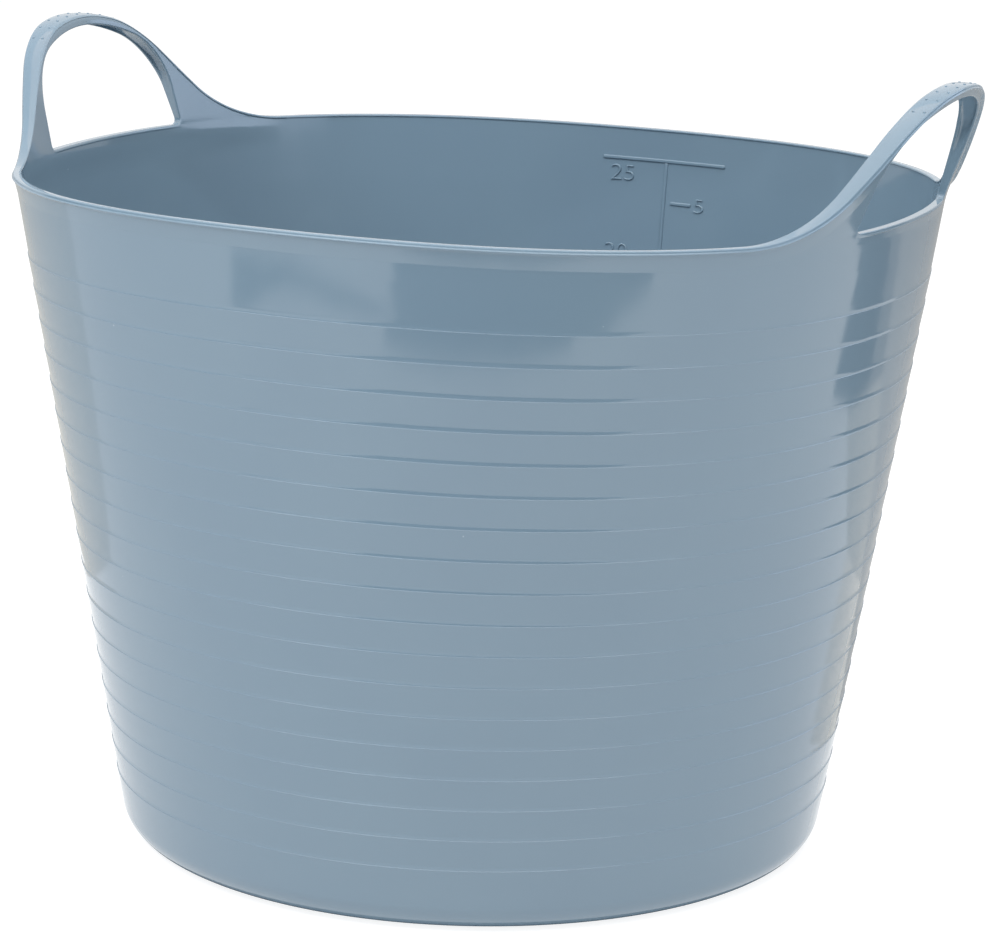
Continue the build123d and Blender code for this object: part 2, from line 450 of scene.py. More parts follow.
# Heights over which the inner face is set in, at the rim and towards the crown, and the share of each
RIM_SET = (-14, -3)
RIM_SET_SHARE = 0.67
CROWN_SET = (28, 50)
CROWN_SET_SHARE = 0.33
# Heights over which the inner edge gets rounder, the inner web ends higher, the strap's top gets its
# crown and the hollow between the webs opens
INNER_ROUND_FADE = (26, 46)
WEB_RISE_FADE = (6, 26)
CROWNING_FADE = (1, 12)
HOLLOW_FADE = (16, 36)
# Points of a handle's upper edge, and of its lower edge, between which the columns of its grid are
# counted, and how far they crowd towards the opening's corner
TOP_STOPS = [(22.0, 51.3), (52.5, 35.7), (71.5, 15.2), (FLARE_END, 0)]
LOW_STOPS = [(21.2, 47.8), (50.5, 34.1)]
FOOT_STOP = (108.5, -10.5)
COLUMNS = [14, 24, 40, 34, 6]
TOP_CROWD = [0, 0, 1.5, -1.5, 0]
LOW_CROWD = [0, 0, 2.2, -1.5, 0]
SILL_STOP = 50.0
SILL_COLUMNS = [16, 14]
BELOW_BEAD_SHARE = 0.62
WEB_ROWS = 11
STRAP_ROWS = 7
OPENING_MIDDLE = (0, 20.0)
WEB_SHARE = 0.4
# Rows of the edge round the opening, from a face inwards: distance in from the face and into the
# opening where the edge is round, distance short of the web's thickness and share of the hollow's depth
# at the end of the web, and share of the room to the middle and of the depth in the hollow
ROUND_STEPS = [(0, 0), (0.06, 0.25), (0.22, 0.47), (0.45, EDGE_ROUND)]
WEB_STEPS = [(0.3, 0), (0.08, 0.05), (0, 0.16)]
HOLLOW_STEPS = [(0.04, 0.5), (0.14, 0.78), (0.34, 0.94), (0.7, 1)]
ARC_STEPS = 40
CROWN_STEPS = 30
LOWER_STEPS = 200
SEARCH_STEPS = 4000
TINY = 1e-9
HANDLE_WELD = 0.004
widening = (STRAP_WIDTH - WALL - BEAD - LIP) / CROWN_RISE


def lengths(points):
    """Distance along a line of points, counted from its first point."""
    steps = np.hypot(*np.diff(points, axis=0).T)
    return np.concatenate([[0], np.cumsum(steps)])


def along(points, places):
    """Points at given distances along a line of points."""
    reach = lengths(points)
    return np.stack([np.interp(places, reach, points[:, axis]) for axis in (0, 1)], -1)


def distance(points, line):
    """Shortest distance from each point to a line of points."""
    start, step = line[:-1], np.diff(line, axis=0)
    offset = points[:, None, :] - start[None]
    share = np.clip((offset * step).sum(-1) / np.maximum((step**2).sum(-1), TINY), 0, 1)
    gap = offset - share[..., None] * step
    return np.sqrt((gap**2).sum(-1)).min(1)


def half_outline():
    """Upper edge of a handle from the middle of its crown to the plain rim."""
    crown = arc((0, CROWN_RISE - CROWN_ROUND), CROWN_ROUND, pi / 2, pi / 2 - CROWN_ANGLE, CROWN_STEPS)
    fall = CROWN_ROUND - SHOULDER_ROUND
    centre = (fall * sin(CROWN_ANGLE), CROWN_RISE - CROWN_ROUND + fall * cos(CROWN_ANGLE))
    shoulder = arc(centre, SHOULDER_ROUND, pi / 2 - CROWN_ANGLE, pi / 2 - FOOT_ANGLE, ARC_STEPS)
    flare = arc((FLARE_END, FLARE_ROUND), FLARE_ROUND, -pi / 2 - FOOT_ANGLE, -pi / 2, ARC_STEPS)
    return np.array(crown + shoulder[1:] + flare + [(HANDLE_REACH, 0)])


def half_opening():
    """Edge of the hand opening from the middle of its crown to the middle of its lower edge."""
    inner = OPENING_CROWN - OPENING_SHOULDER
    base = OPENING_RISE - OPENING_CROWN
    side = OPENING_HALF - OPENING_SHOULDER / cos(OPENING_DRAFT)
    slope = tan(OPENING_DRAFT)
    a, b, c = 1 + slope**2, -2 * (side * slope + base), side**2 + base**2 - inner**2
    rise = (-b + (b * b - 4 * a * c) ** 0.5) / (2 * a)
    centre = (side - slope * rise, rise)
    lean = atan((rise - base) / centre[0])
    crown = arc((0, base), OPENING_CROWN, pi / 2, lean, ARC_STEPS)
    shoulder = arc(centre, OPENING_SHOULDER, lean, OPENING_DRAFT, ARC_STEPS)
    corner_x = OPENING_HALF - OPENING_CORNER - slope * OPENING_CORNER
    corner = arc((corner_x, OPENING_CORNER), OPENING_CORNER, OPENING_DRAFT, -pi / 2, ARC_STEPS)
    return np.array(crown + shoulder[1:] + corner + [(0, 0)])


def swollen(line, amount):
    """A half opening, moved out of the opening by an amount."""
    run = np.gradient(line, axis=0)
    run /= np.maximum(np.hypot(*run.T), TINY)[:, None]
    moved = line + amount * np.stack([-run[:, 1], run[:, 0]], -1)
    moved[[0, -1], 0] = 0
    return moved


def nearest(line, point):
    """Distance along a line of points at which it passes nearest to a point."""
    fine = np.linspace(0, lengths(line)[-1], SEARCH_STEPS)
    gap = np.hypot(*(along(line, fine) - np.array(point)).T)
    return fine[gap.argmin()]


def run_between(stops, counts, crowd):
    """Distances along a line through its stops, crowded towards the ends that ask for it."""
    places = [stops[0]]
    for low, high, count, bias in zip(stops, stops[1:], counts, crowd):
        share = np.linspace(0, 1, count + 1)[1:]
        if bias > 0:
            share = 1 - (1 - share) ** bias
        elif bias < 0:
            share = share ** (-bias)
        places += list(low + (high - low) * share)
    return np.array(places)


def lean_out(height, y, slope):
    """How far a handle's web leaves the axis, against its radius at the rim."""
    easing = np.where(height > -LEAN_START, (height + LEAN_START) ** 2 / (4 * LEAN_START), 0)
    bend = np.where(height > LEAN_START, height, easing)
    held = 1 - ease(np.abs(y), *LEAN_FADE)
    return TAPER * height + (slope - TAPER) * bend * held


outline = half_outline()
opening = half_opening()
sheet_edge = swollen(opening, EDGE_ROUND)
bottom_edge = np.array([(-OPENING_HALF, -EDGE_ROUND), (OPENING_HALF, -EDGE_ROUND)])
corner_cut = OPENING_CORNER * (1 - cos(pi / 4)) - EDGE_ROUND * cos(pi / 4)
pole = np.array((OPENING_HALF - corner_cut, corner_cut))
pole_at = nearest(sheet_edge, pole)
pole = along(sheet_edge, [pole_at])[0]
lower = along(sheet_edge, np.linspace(0, pole_at, LOWER_STEPS))
lower = np.vstack([lower, [(HANDLE_REACH, SILL_END)]])
top_stops = [0] + [nearest(outline, stop) for stop in TOP_STOPS] + [lengths(outline)[-1]]
low_stops = [0] + [nearest(lower, stop) for stop in LOW_STOPS]
low_stops += [pole_at, nearest(lower, FOOT_STOP), lengths(lower)[-1]]
top_places = run_between(top_stops, COLUMNS, TOP_CROWD)
low_places = run_between(low_stops, COLUMNS, LOW_CROWD)
pole_column = sum(COLUMNS[: low_stops.index(pole_at)])
half_top = along(outline, top_places)
half_low = along(lower, low_places)


def both_sides(half):
    """A half line of points and its mirror, from one side of the handle to the other."""
    mirror = half[::-1] * np.array([-1, 1])
    return np.vstack([mirror[:-1], half])


def webbed(top, low):
    """Grid of points between two lines, close together under the bead and even below it."""
    fine, broad = np.array(FINE_ROWS), np.array(BROAD_ROWS)
    rows = []
    for length in np.hypot(*(low - top).T):
        room = length - fine[-1]
        squeeze = min(1.0, BELOW_BEAD_SHARE * room / (broad[-1] - fine[-1]))
        under = fine[-1] + (broad - fine[-1]) * squeeze
        rest = np.linspace(under[-1], length, WEB_ROWS)[1:]
        rows.append(np.concatenate([fine, under, rest]) / length)
    return top[:, None, :] + np.array(rows)[..., None] * (low - top)[:, None, :]


whole_outline = both_sides(outline)
upper_grid = webbed(both_sides(half_top), both_sides(half_low))
raised = half_top - half_low
raised /= np.hypot(*raised.T)[:, None]
raised *= INNER_WEB_RISE * ease(half_low[:, 1], *WEB_RISE_FADE)[:, None]
inner_grid = webbed(both_sides(half_top), both_sides(half_low + raised))

# The strip of rim under the opening, and beside it down to the plain band. Its rows are counted below
# the opening's edge.
SILL_ROWS = [
    0, 0.15, 0.35, 0.6, 0.9, 1.0, 1.1, 1.2, 1.4, 2.4, 3.4, 3.85, 4.0, 4.15, 6.0, 8.5, 12.0, 15.4,
]
# Distances below the opening's edge, and how far the edge stands out of the wall there
SILL_DEPTHS = [0, 0.35, 0.9, 1.2, 3.95, 4.05]
SILL_STEPS = [0.3, 0.5, 0.5, 0.22, 0.01, 0]
sill_stops = [pole_at, nearest(sheet_edge, (SILL_STOP, -EDGE_ROUND)), lengths(sheet_edge)[-1]]
bottom_half = along(sheet_edge, run_between(sill_stops, SILL_COLUMNS, [0, 0]))
strip_top = np.vstack([half_low[pole_column:][::-1], bottom_half[1:]])
strip_low = strip_top.copy()
strip_low[:, 1] = BAND_TOP - RIM_HEIGHT
strip_top = np.vstack([strip_top, (strip_top[::-1] * [-1, 1])[1:]])[::-1]
strip_low = np.vstack([strip_low, (strip_low[::-1] * [-1, 1])[1:]])[::-1]
strip_rows = np.array(SILL_ROWS) / SILL_ROWS[-1]
strip_grid = strip_top[:, None, :] + strip_rows[:, None] * (strip_low - strip_top)[:, None, :]


def sill_relief(depth):
    """How far the edge under the opening stands out at a distance below it."""
    return np.interp(depth, SILL_DEPTHS, SILL_STEPS)


def web_radius(points, out):
    """Radius of a handle's outer or inner face at points given by y and height."""
    y, height = points[:, 0], points[:, 1]
    depth = distance(points, whole_outline)
    sill = distance(points, bottom_edge)
    sill_part = ease(OPENING_HALF - np.abs(y), *SILL_FADE) * (height < SILL_TOP)
    if out:
        lean = lean_out(height + upright(depth), y, HANDLE_LEAN + widening / 2)
        return TOP_RADIUS + lean + bead_relief(depth) + sill_part * sill_relief(sill)
    lean = lean_out(height + INNER_LEAN_EARLY, y, HANDLE_LEAN - widening / 2)
    rounding = LIP_ROUND + (INNER_EDGE_ROUND - LIP_ROUND) * ease(height, *INNER_ROUND_FADE)
    relief = lip_relief(depth, rounding) + SILL_LIP * sill_part * lip_relief(sill + SILL_LIP_RISE)
    held = 1 - ease(np.abs(y), *SET_FADE)
    rim_set = RIM_SET_SHARE * ease(height, *RIM_SET) * held
    set_in = INNER_SET * (rim_set + CROWN_SET_SHARE * ease(height, *CROWN_SET))
    return TOP_RADIUS - WALL + lean - TAPER * INNER_LEAN_EARLY - relief - set_in


def placed(points, radius):
    """Place points, given by y and height, on a face of the +X handle."""
    y, height = points[:, 0], points[:, 1]
    turned = ease(np.abs(y), *TURN_FADE)
    y = y * (1 + turned * (radius - TOP_RADIUS) / TOP_RADIUS)
    x = np.sqrt(radius**2 - y**2)
    return np.stack([x, y, RIM_HEIGHT + height], -1) * MM


def handle_mesh(name):
    """Build the +X handle from its two webs, its strap and the edge round its opening."""
    vertices, faces = [], []

    def add_grid(points, closed=False):
        rows, columns = points.shape[:2]
        first = sum(len(v) for v in vertices)
        vertices.append(points.reshape(-1, 3))
        for i in range(rows if closed else rows - 1):
            j = (i + 1) % rows
            for k in range(columns - 1):
                quad = (i * columns + k, i * columns + k + 1, j * columns + k + 1, j * columns + k)
                faces.append([first + corner for corner in quad])

    sheets = {}
    for out in (True, False):
        for label, grid in (("upper", upper_grid if out else inner_grid), ("strip", strip_grid)):
            flat = grid.reshape(-1, 2)
            radius = web_radius(flat, out)
            sheets[label, out] = radius.reshape(grid.shape[:2])
            add_grid(placed(flat, radius).reshape(grid.shape[0], grid.shape[1], 3))

    # The strap's top, from its outer to its inner edge
    top = upper_grid[:, 0]
    top_rows = []
    for share in np.linspace(0, 1, STRAP_ROWS):
        radius = sheets["upper", True][:, 0] * (1 - share) + sheets["upper", False][:, 0] * share
        crowned = CROWNING * ease(top[:, 1], *CROWNING_FADE) * (1 - (2 * share - 1) ** 2)
        top_rows.append(placed(top + np.stack([0 * crowned, crowned], -1), radius))
    add_grid(np.stack(top_rows, 1))

    # The edge round the opening: two webs with a hollow between them, closing up towards the rim
    middle = len(half_top) - 1
    pole_span = slice(middle - pole_column, middle + pole_column + 1)
    strip_middle = len(strip_grid) // 2
    strip_span = slice(strip_middle - len(bottom_half) + 1, strip_middle + len(bottom_half))
    loops, edges = {}, {}
    for out, grid in ((True, upper_grid), (False, inner_grid)):
        loops[out] = np.vstack([grid[pole_span, -1], strip_grid[strip_span, 0][::-1][1:-1]])
        edges[out] = np.concatenate([
            sheets["upper", out][pole_span, -1],
            sheets["strip", out][strip_span, 0][::-1][1:-1],
        ])
    loop = loops[True]
    run = np.roll(loop, -1, 0) - np.roll(loop, 1, 0)
    run /= np.hypot(*run.T)[:, None]
    inward = np.stack([run[:, 1], -run[:, 0]], -1)
    centre_way = np.array(OPENING_MIDDLE) - loop
    inward *= np.where((inward * centre_way).sum(1) < 0, -1, 1)[:, None]
    hollow = ease(loop[:, 1], *HOLLOW_FADE)
    slopes = {True: HANDLE_LEAN + widening / 2, False: HANDLE_LEAN - widening / 2}
    thick = edges[True] - edges[False]
    web = np.minimum(WEB, WEB_SHARE * thick)
    zero = np.zeros_like(thick)
    room = thick / 2 - web
    sides = []
    for out in (True, False):
        deep = np.clip(distance(loops[out], whole_outline) + EDGE_ROUND - STRAP, 0, HOLLOW_DEPTH)
        near = [(zero + across, zero + into, out) for across, into in ROUND_STEPS]
        near += [(web - short, EDGE_ROUND - part * deep, out) for short, part in WEB_STEPS]
        near += [(web + share * room, EDGE_ROUND - part * deep, out) for share, part in HOLLOW_STEPS]
        sides += near if out else near[::-1]
    ring = []
    last_round = len(ROUND_STEPS) - 1
    round_end = ROUND_STEPS[-1][0]
    for index, (across, into, out) in enumerate(sides):
        row = min(index, len(sides) - 1 - index)
        if row > last_round:
            share = (row - last_round) / (len(sides) / 2 - last_round - 0.5)
            flat_across = round_end + share * (thick / 2 - round_end)
            flat_into = zero + EDGE_ROUND
        else:
            flat_across, flat_into = across, into
        off = flat_across + hollow * (across - flat_across)
        depth = flat_into + hollow * (into - flat_into)
        moved = loops[out] + inward * depth[:, None]
        leaned = lean_out(moved[:, 1], moved[:, 0], slopes[out])
        rest = lean_out(loops[out][:, 1], loops[out][:, 0], slopes[out])
        radius = edges[out] + leaned - rest + (-off if out else off)
        ring.append(placed(moved, radius))
    add_grid(np.stack(ring, 1), closed=True)

    # The hidden faces that meet the plain band, and the rim on either side
    low_rows = []
    for out in (True, False):
        low_rows.append(placed(strip_grid[:, -1], sheets["strip", out][:, -1]))
    add_grid(np.stack(low_rows, 1))

    mesh = bpy.data.meshes.new(name)
    mesh.from_pydata(np.vstack(vertices).tolist(), [], faces)
    piece = bpy.data.objects.new(name, mesh)
    bpy.context.scene.collection.objects.link(piece)
    pick(piece)
    bpy.ops.object.mode_set(mode="EDIT")
    close_up(HANDLE_WELD)
    bpy.ops.object.mode_set(mode="OBJECT")
    return piece


right_handle = handle_mesh("right_arch")
pick(right_handle)
bpy.ops.object.duplicate()
left_handle = bpy.context.object
left_handle.name = "left_arch"
left_handle.rotation_euler = (0, 0, pi)
bpy.ops.object.transform_apply(location=True, rotation=True, scale=True)
for side, handle, x in (("right", right_handle, 0.1985), ("left", left_handle, -0.1985)):
    dress(handle, f"{side}_front_leg", f"{side}_back_leg", f"{side}_grip")
    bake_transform(handle)

# Grip pips
# The real straps carry two rows of small raised pips across the crown, moulded with the strap, so
# that a wet hand doesn't slip.
PIP_RADIUS = 0.6
PIP_HEIGHT = 0.28
PIP_SINK = 0.5
PIP_PITCH = 9.5
PIP_ROW = 2.3
PIP_PLACES = range(-4, 5)
PIP_SIDES = 14
PIP_ROUND = 0.3
# Share of the strap's crown that a pip sits on, distance over which the strap's slope is taken, and the
# least upright part of a top face's normal
PIP_SEAT = 0.8
PROBE = 0.5
FACING_UP = 0.9


def on_strap(y, row):
    """Place of a point on the strap's top, from its y and its distance from the strap's middle."""
    rise = np.interp(y, whole_outline[:, 0], whole_outline[:, 1])
    point = np.array([(y, rise)])
    middle = (web_radius(point, True) + web_radius(point, False)) / 2
    return Vector(placed(point + np.array([0, PIP_SEAT * CROWNING]), middle + row)[0])


bpy.ops.object.select_all(action="DESELECT")
tall = (PIP_HEIGHT + PIP_SINK) * MM
bpy.ops.mesh.primitive_cylinder_add(
    vertices=PIP_SIDES,
    radius=PIP_RADIUS * MM,
    depth=tall,
    location=(0, 0, tall / 2 - PIP_SINK * MM),
)
pip = bpy.context.object
bpy.ops.object.transform_apply(location=True, rotation=True, scale=True)
bpy.ops.object.mode_set(mode="EDIT")
bpy.ops.mesh.select_mode(type="FACE")
bpy.ops.mesh.select_all(action="DESELECT")
bpy.ops.object.mode_set(mode="OBJECT")
for face in pip.data.polygons:
    face.select = face.normal.z > FACING_UP
bpy.ops.object.mode_set(mode="EDIT")
bpy.ops.mesh.bevel(offset=PIP_ROUND * MM, segments=3)
bpy.ops.mesh.select_mode(type="VERT")
bpy.ops.object.mode_set(mode="OBJECT")
for side, turn in (("right", 0), ("left", pi)):
    rows = []
    for place in PIP_PLACES:
        for row in (-PIP_ROW, PIP_ROW):
            y = place * PIP_PITCH
            seat = on_strap(y, row)
            run = (on_strap(y + PROBE, row) - on_strap(y - PROBE, row)).normalized()
            across = on_strap(y, row - PROBE) - on_strap(y, row + PROBE)
            up = across.cross(run).normalized()
            up = up if up.z > 0 else -up
            frame_of_pip = Matrix((run, up.cross(run), up)).transposed().to_4x4()
            pick(pip)
            bpy.ops.object.duplicate()
            copy = bpy.context.object
            spot = Matrix.Translation(seat) @ frame_of_pip
            copy.matrix_world = Matrix.Rotation(turn, 4, "Z") @ spot
            rows.append(copy)
    pick(*rows)
    bpy.ops.object.join()
    bpy.ops.object.transform_apply(location=True, rotation=True, scale=True)
    pips = bpy.context.object
    pips.name = f"{side}_pip_rows"
    dress(pips, f"{side}_grip_pips")
    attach(pips, f"{side}_handle")
bpy.data.objects.remove(pip)

# Volume scale
# The real scale stands a little out of the inside wall, moulded with it: a header rule, an upright
# rule, and ticks with plain numbers, litres on the left and gallons on the right.
RULE = 1.7
RULE_ROUND = 0.5
RULE_CUTS = 12
RELIEF = 0.6
ROOT = 0.4
HEADER_LEFT = -33.8
HEADER_RIGHT = 32.2
TICK_START = 3.6
TICK_END = 14.7
LITRE = 1e6
GALLON = 4.546 * LITRE
TOP_MARK = 25
LOWEST_MARK = 2.5
LITRE_MARKS = (20, 15, 10, 5)
GALLON_MARKS = (5, 4, 3, 2, 1)
NUMBER_HEIGHT = 7.4
GALLON_NUMBER_HEIGHT = 6.4
# Left and right sides of the numbers, and how far the first one hangs under the header rule
TOP_NUMBER = (-29.0, -17.0)
TOP_NUMBER_DROP = 3.2
LITRE_NUMBER = (-29.0, -17.6)
LITRE_FIGURE = (-23.4, -17.6)
GALLON_NUMBER = (16.6, 21.8)
# Rounding and thinning of the figures' strokes, as a share of the type's size
FIGURE_ROUND = 0.034
FIGURE_THINNING = -0.045


def mark_height(volume):
    """Height of the surface when the tub holds a volume."""
    bottom = inside(FLOOR_TOP)
    radius = (bottom**3 + 3 * TAPER * volume / pi) ** (1 / 3)
    return FLOOR_TOP + (radius - bottom) / TAPER


def rule(left, right, low, high):
    """A flat rule with softened edges, drawn from its left, right, low and high sides."""
    bpy.ops.object.select_all(action="DESELECT")
    bpy.ops.mesh.primitive_cube_add(
        size=1,
        location=((left + right) / 2, (low + high) / 2, (RELIEF - ROOT) / 2),
        scale=(right - left, high - low, RELIEF + ROOT),
    )
    bpy.ops.object.transform_apply(location=True, rotation=True, scale=True)
    piece = bpy.context.object
    bpy.ops.object.mode_set(mode="EDIT")
    bpy.ops.mesh.select_all(action="SELECT")
    bpy.ops.mesh.bevel(offset=RULE_ROUND, segments=4)
    if right - left > high - low:
        cut = Vector((1, 0, 0))
        ends = left, right
    else:
        cut = Vector((0, 1, 0))
        ends = low, high
    for place in np.linspace(*ends, RULE_CUTS)[1:-1]:
        bpy.ops.mesh.select_all(action="SELECT")
        bpy.ops.mesh.bisect(plane_co=cut * place, plane_no=cut)
    bpy.ops.object.mode_set(mode="OBJECT")
    return piece


def number(figures, left, right, top, tall):
    """A plain number as raised figures, set between its left, right and top."""
    bpy.ops.object.select_all(action="DESELECT")
    bpy.ops.object.text_add()
    words = bpy.context.object
    words.data.body = figures
    words.data.offset = FIGURE_THINNING
    words.data.bevel_depth = FIGURE_ROUND
    words.data.bevel_resolution = 2
    words.data.extrude = FIGURE_ROUND / 2
    words.data.resolution_u = 6
    bpy.ops.object.convert(target="MESH")
    piece = bpy.context.object
    low = Vector([min(v.co[i] for v in piece.data.vertices) for i in range(3)])
    high = Vector([max(v.co[i] for v in piece.data.vertices) for i in range(3)])
    wide = (right - left) / (high.x - low.x)
    rise = tall / (high.y - low.y)
    for vertex in piece.data.vertices:
        vertex.co.x = left + (vertex.co.x - low.x) * wide
        vertex.co.y = top - tall + (vertex.co.y - low.y) * rise
        vertex.co.z = RELIEF - (high.z - vertex.co.z) * rise
    return piece


header = mark_height(TOP_MARK * LITRE)
foot = mark_height(LOWEST_MARK * LITRE)
marks = [
    rule(HEADER_LEFT, HEADER_RIGHT, header - RULE / 2, header + RULE / 2),
    rule(-RULE / 2, RULE / 2, foot, header - RULE / 2),
]
marks.append(number(str(TOP_MARK), *TOP_NUMBER, header - TOP_NUMBER_DROP, NUMBER_HEIGHT))
for litres in LITRE_MARKS:
    z = mark_height(litres * LITRE)
    sides = LITRE_NUMBER if litres > 9 else LITRE_FIGURE
    marks.append(rule(-TICK_END, -TICK_START, z - RULE / 2, z + RULE / 2))
    marks.append(number(str(litres), *sides, z + NUMBER_HEIGHT / 2, NUMBER_HEIGHT))
for gallons in GALLON_MARKS:
    z = mark_height(gallons * GALLON)
    top = z + GALLON_NUMBER_HEIGHT / 2
    marks.append(rule(TICK_START, TICK_END, z - RULE / 2, z + RULE / 2))
    marks.append(number(str(gallons), *GALLON_NUMBER, top, GALLON_NUMBER_HEIGHT))
pick(*marks)
bpy.ops.object.join()
volume_scale = bpy.context.object
volume_scale.name = "scale_marks"
for vertex in volume_scale.data.vertices:
    sideways, z, relief = vertex.co
    wall = inside(z)
    azimuth = pi / 2 - sideways / wall
    vertex.co = Vector(((wall - relief) * cos(azimuth), (wall - relief) * sin(azimuth), z)) * MM
bpy.ops.object.mode_set(mode="EDIT")
bpy.ops.mesh.select_all(action="SELECT")
bpy.ops.mesh.remove_doubles(threshold=WELD * MM)
bpy.ops.mesh.normals_make_consistent(inside=False)
bpy.ops.object.mode_set(mode="OBJECT")
dress(volume_scale, "volume_scale")
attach(volume_scale, "tub")

# Stage
# A white sheet on a table, in a white surround, as on a plain product sheet. What the camera and the
# gloss see of it is white, and the sheet keeps the tub's shadow.
SHEET_SIZE = 12
# Strength of the sheet's glow and of the surround, as light and as they are seen
SHEET_GLOW = (0.72, 0.84)
SURROUND = (0.6, 1.0)
bpy.ops.object.select_all(action="DESELECT")
bpy.ops.mesh.primitive_plane_add(size=SHEET_SIZE)
ground = bpy.context.object
ground.name = "white_sheet"
paper = bpy.data.materials.new("white_paper")
paper.use_nodes = True
paper.node_tree.nodes.clear()


def seen(tree):
    """Socket that is 1 for rays from the camera, from gloss and through glass, and 0 for light."""
    path = add_node(tree, "ShaderNodeLightPath")
    both = add_node(
        tree,
        "ShaderNodeMath",
        {"operation": "MAXIMUM"},
        {0: path.outputs["Is Camera Ray"], 1: path.outputs["Is Glossy Ray"]},
    )
    every = add_node(
        tree,
        "ShaderNodeMath",
        {"operation": "MAXIMUM"},
        {0: both.outputs[0], 1: path.outputs["Is Transmission Ray"]},
    )
    return every.outputs[0]


matte = add_node(paper.node_tree, "ShaderNodeBsdfDiffuse", {"Color": linear("#959595")})
shine = add_node(
    paper.node_tree,
    "ShaderNodeMapRange",
    {"To Min": SHEET_GLOW[0], "To Max": SHEET_GLOW[1]},
    {"Value": seen(paper.node_tree)},
)
glow = add_node(
    paper.node_tree,
    "ShaderNodeEmission",
    {"Color": linear("#FFFFFF")},
    {"Strength": shine.outputs["Result"]},
)
lit = add_node(
    paper.node_tree, "ShaderNodeAddShader", None, {0: matte.outputs[0], 1: glow.outputs[0]}
)
add_node(paper.node_tree, "ShaderNodeOutputMaterial", None, {"Surface": lit.outputs[0]})
ground.data.materials.append(paper)

world = bpy.data.worlds.new("white_surround")
bpy.context.scene.world = world
world.use_nodes = True
world.node_tree.nodes.clear()
strength = add_node(
    world.node_tree,
    "ShaderNodeMapRange",
    {"To Min": SURROUND[0], "To Max": SURROUND[1]},
    {"Value": seen(world.node_tree)},
)
sky = add_node(
    world.node_tree,
    "ShaderNodeBackground",
    {"Color": linear("#FFFFFF")},
    {"Strength": strength.outputs["Result"]},
)
add_node(world.node_tree, "ShaderNodeOutputWorld", None, {"Surface": sky.outputs[0]})

# Flags
# Studio cloths, dark and light, that nothing but the gloss shows: they lie on the floor before, beside
# and behind the tub, and hang round the room, lighter at the back. The discs under its foot are painted
# shadow for the gloss, where no light comes.
VIEW_HEADING = 0.4794
FLAG_HEIGHT = 1.0
# Tone of each cloth on the floor, and its corners, counted to the right of the tub's middle and in front
# of it as the camera sees it
FLAGS = {
    "front_flag": ("#3C4046", [
        (-420, 670), (-355, 620), (-325, 540), (-205, 540), (-95, 542), (15, 530), (110, 517),
        (100, 526), (220, 540), (310, 524), (320, 532), (360, 715), (900, 2100), (-1900, 1950),
    ]),
    "left_flag": ("#3C4046", [
        (-820, 505), (-765, 565), (-700, 600), (-520, 625), (-370, 630), (-355, 620), (-480, 605),
        (-595, 585), (-660, 560), (-690, 515), (-690, 470), (-715, 435),
    ]),
    "right_flag": ("#50555B", [(610, -110), (1000, -375), (1000, -685), (630, -345), (610, -210)]),
    "right_shade": ("#9A9A9A", [(630, -345), (1000, -685), (1000, -805), (640, -470)]),
    "right_card": ("#D8D4CC", [
        (420, -200), (610, -200), (610, -210), (630, -345), (640, -470), (470, -400), (330, -300),
    ]),
    "right_low_card": ("#FAF4EA", [(235, -20), (345, -120), (420, -200), (330, -300), (200, -120)]),
    "right_edge_card": ("#BEBCB9", [
        (200, -120), (330, -300), (470, -400), (640, -470), (1000, -805), (1700, -1450),
        (1700, -2400), (100, -2400),
    ]),
    "left_card": ("#D8D4CC", [
        (-400, -130), (-1600, -420), (-1600, -2000), (-100, -2000), (-290, -330),
    ]),
}
# Painted shadow: discs under the tub, where no light comes, that only the gloss shows, so that the
# foot's
# lower edge reflects shade: their tone, their radius and their height
PAINTED_FOOT_SHADOWS = {
    "painted_foot_shadow": ("#2A2E33", 145.5, 0.2),
    "foot_shade": ("#A0A0A0", 148.5, 0.1),
}
# Cloth that hangs round the room: its tone, its height and its first and last bearing from the right,
# with the back at 90 degrees and the camera at 270
DRAPES = {
    "dark_drape": ("#3C4046", 1.6, 150, 400),
    "grey_drape": ("#C4C6CA", 0.5, 40, 150),
}
DRAPE_RADIUS = 3.0
DEGREES_A_STEP = 5


def hung(name, radius, low, high, first, last, fall=0.0):
    """A sheet hung round the room between two heights and two bearings. Its lower edge may fall."""
    bpy.ops.object.select_all(action="DESELECT")
    bpy.ops.mesh.primitive_plane_add(size=1)
    sheet = bpy.context.object
    sheet.name = name
    start = VIEW_HEADING + radians(first)
    edge = Vector((cos(start), sin(start), 0)) * radius
    for vertex, level in zip(sheet.data.vertices, (low, low, high, high)):
        vertex.co = edge + Vector((0, 0, level))
    bpy.ops.object.mode_set(mode="EDIT")
    bpy.ops.mesh.select_all(action="SELECT")
    bpy.ops.mesh.remove_doubles(threshold=MM)
    steps = (last - first) // DEGREES_A_STEP
    sweep = radians(last - first)
    bpy.ops.mesh.spin(steps=steps, angle=sweep, center=(0, 0, 0), axis=(0, 0, -1))
    bpy.ops.object.mode_set(mode="OBJECT")
    for vertex in sheet.data.vertices:
        if vertex.co.z < (low + high) / 2:
            turned = (atan2(vertex.co.y, vertex.co.x) - start) % (2 * pi)
            vertex.co.z -= fall * min(turned / sweep, 1)
    return sheet


def cloth(hex_colour):
    """Dull studio cloth, which gives the eye an even tone. Under the tub's foot the same tone is painted
    shadow.
    """
    material = bpy.data.materials.new("studio_cloth_and_painted_shadow")
    material.use_nodes = True
    material.node_tree.nodes.clear()
    dull = add_node(material.node_tree, "ShaderNodeBsdfDiffuse", {"Color": linear(hex_colour)})
    add_node(material.node_tree, "ShaderNodeOutputMaterial", None, {"Surface": dull.outputs[0]})
    return material


def leave_to_gloss(card):
    """Let nothing but the gloss show a piece of the studio."""
    card.visible_camera = False
    card.visible_diffuse = False
    card.visible_shadow = False


